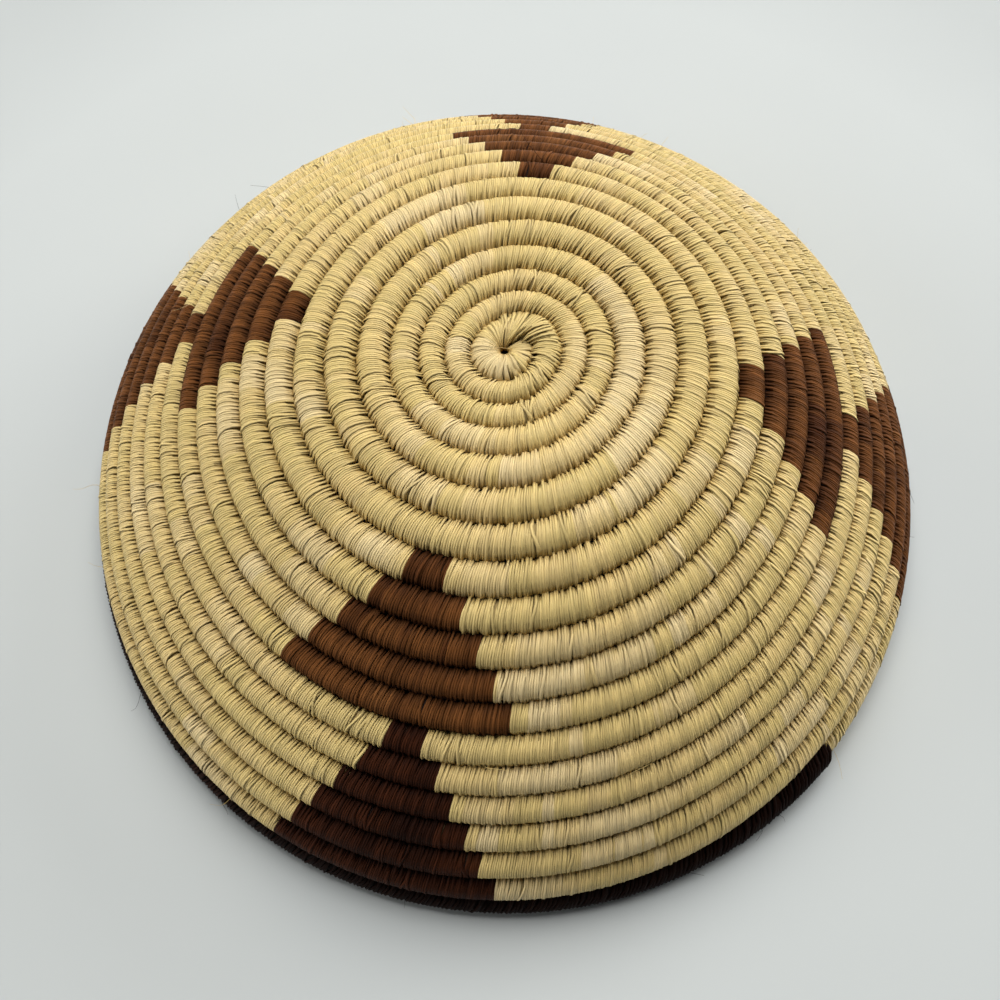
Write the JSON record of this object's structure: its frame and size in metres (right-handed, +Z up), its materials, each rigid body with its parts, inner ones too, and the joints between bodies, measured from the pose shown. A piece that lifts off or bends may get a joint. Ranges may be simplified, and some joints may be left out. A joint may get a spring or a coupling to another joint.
{
  "type": "coiled basket bowl",
  "caption": "Shallow round bowl coiled from wrapped plant fibre, pale with brown stepped triangles and a thin dark rim, lying upside down on that rim.",
  "frame": {"origin": "on the plane z = 0 that the rim rests on, under the middle of the coil", "axes": "+Z up from the rim to the flat base, because the bowl lies upside down as in the picture; -Y towards the viewer and +X to the viewer's right. Turn it half round about X to stand it on its base for use."},
  "size_m": [0.2852, 0.3043, 0.0856],
  "materials": {
    "natural_raffia": "straw-gold plant strands wound tightly side by side, dry with a low sheen",
    "brown_raffia": "plant strands dyed reddish brown, wound tightly side by side, dry with a low sheen",
    "dark_raffia": "plant strands dyed near-black brown, wound slanting round the rim, slightly hairy",
    "grass_bundle": "dry grass stems, bundled; hidden under the wrapping"
  },
  "bodies": {
    "root": {"back_motif_lower": "brown_raffia", "back_motif_upper": "brown_raffia", "base_wrap": "natural_raffia", "foundation_coil": "grass_bundle", "front_motif_lower": "brown_raffia", "front_motif_upper": "brown_raffia", "left_motif_lower": "brown_raffia", "left_motif_upper": "brown_raffia", "right_motif_lower": "brown_raffia", "right_motif_upper": "brown_raffia", "rim_wrap": "dark_raffia", "wall_wrap_back_01": "natural_raffia", "wall_wrap_back_02": "natural_raffia", "wall_wrap_back_03": "natural_raffia", "wall_wrap_back_04": "natural_raffia", "wall_wrap_back_05": "natural_raffia", "wall_wrap_back_06": "natural_raffia", "wall_wrap_back_07": "natural_raffia", "wall_wrap_back_08": "natural_raffia", "wall_wrap_back_09": "natural_raffia", "wall_wrap_back_10": "natural_raffia", "wall_wrap_back_11": "natural_raffia", "wall_wrap_front_01": "natural_raffia", "wall_wrap_front_02": "natural_raffia", "wall_wrap_front_03": "natural_raffia", "wall_wrap_front_04": "natural_raffia", "wall_wrap_front_05": "natural_raffia", "wall_wrap_front_06": "natural_raffia", "wall_wrap_front_07": "natural_raffia", "wall_wrap_front_08": "natural_raffia", "wall_wrap_front_09": "natural_raffia", "wall_wrap_front_10": "natural_raffia", "wall_wrap_front_11": "natural_raffia", "wall_wrap_left_01": "natural_raffia", "wall_wrap_left_02": "natural_raffia", "wall_wrap_left_03": "natural_raffia", "wall_wrap_left_04": "natural_raffia", "wall_wrap_left_05": "natural_raffia", "wall_wrap_left_06": "natural_raffia", "wall_wrap_left_07": "natural_raffia", "wall_wrap_left_08": "natural_raffia", "wall_wrap_left_09": "natural_raffia", "wall_wrap_left_10": "natural_raffia", "wall_wrap_left_11": "natural_raffia", "wall_wrap_right_01": "natural_raffia", "wall_wrap_right_02": "natural_raffia", "wall_wrap_right_03": "natural_raffia", "wall_wrap_right_04": "natural_raffia", "wall_wrap_right_05": "natural_raffia", "wall_wrap_right_06": "natural_raffia", "wall_wrap_right_07": "natural_raffia", "wall_wrap_right_08": "natural_raffia", "wall_wrap_right_09": "natural_raffia", "wall_wrap_right_10": "natural_raffia", "wall_wrap_right_11": "natural_raffia"}
  },
  "joints": []
}
